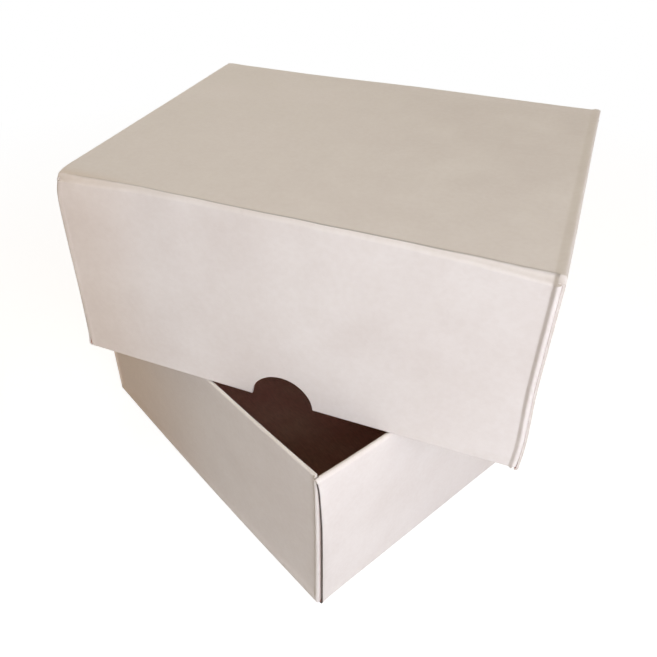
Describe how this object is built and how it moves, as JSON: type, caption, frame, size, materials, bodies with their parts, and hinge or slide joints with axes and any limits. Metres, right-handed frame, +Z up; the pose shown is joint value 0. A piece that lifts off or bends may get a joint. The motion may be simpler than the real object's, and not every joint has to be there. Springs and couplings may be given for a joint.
{
  "type": "cryogenic storage box",
  "caption": "Shallow rectangular folded-board box for frozen sample tubes: an open double-wall base with a deep lift-off lid that has half-round thumb notches.",
  "frame": {"origin": "centre of the base's underside, on the surface it stands on", "axes": "+Z up, +X along the base's long sides, +Y along its short ends towards the back; the lid lies turned about +Z"},
  "size_m": [0.1658, 0.1534, 0.1186],
  "materials": {
    "white_coated_board": "solid paperboard, matt clay-coated white face",
    "brown_backed_board": "solid paperboard, uncoated reddish-brown reverse, as seen on the base's floor"
  },
  "bodies": {
    "base": {"base_floor": "brown_backed_board", "base_front_wall": "white_coated_board", "base_front_lining": "white_coated_board", "base_back_wall": "white_coated_board", "base_back_lining": "white_coated_board", "base_right_wall": "white_coated_board", "base_right_lining": "white_coated_board", "base_left_wall": "white_coated_board", "base_left_lining": "white_coated_board", "base_front_right_flap": "white_coated_board", "base_back_right_flap": "white_coated_board", "base_front_left_flap": "white_coated_board", "base_back_left_flap": "white_coated_board"},
    "lid": {"lid_top": "white_coated_board", "lid_front_wall": "white_coated_board", "lid_front_lining": "white_coated_board", "lid_back_wall": "white_coated_board", "lid_back_lining": "white_coated_board", "lid_right_wall": "white_coated_board", "lid_right_lining": "white_coated_board", "lid_left_wall": "white_coated_board", "lid_left_lining": "white_coated_board", "lid_front_right_flap": "white_coated_board", "lid_back_right_flap": "white_coated_board", "lid_front_left_flap": "white_coated_board", "lid_back_left_flap": "white_coated_board"}
  },
  "joints": [
    {"name": "lid_lift", "type": "slide", "parent": "base", "child": "lid", "axis": [0, 0, 1], "range_m": [0, 0.08]}
  ]
}
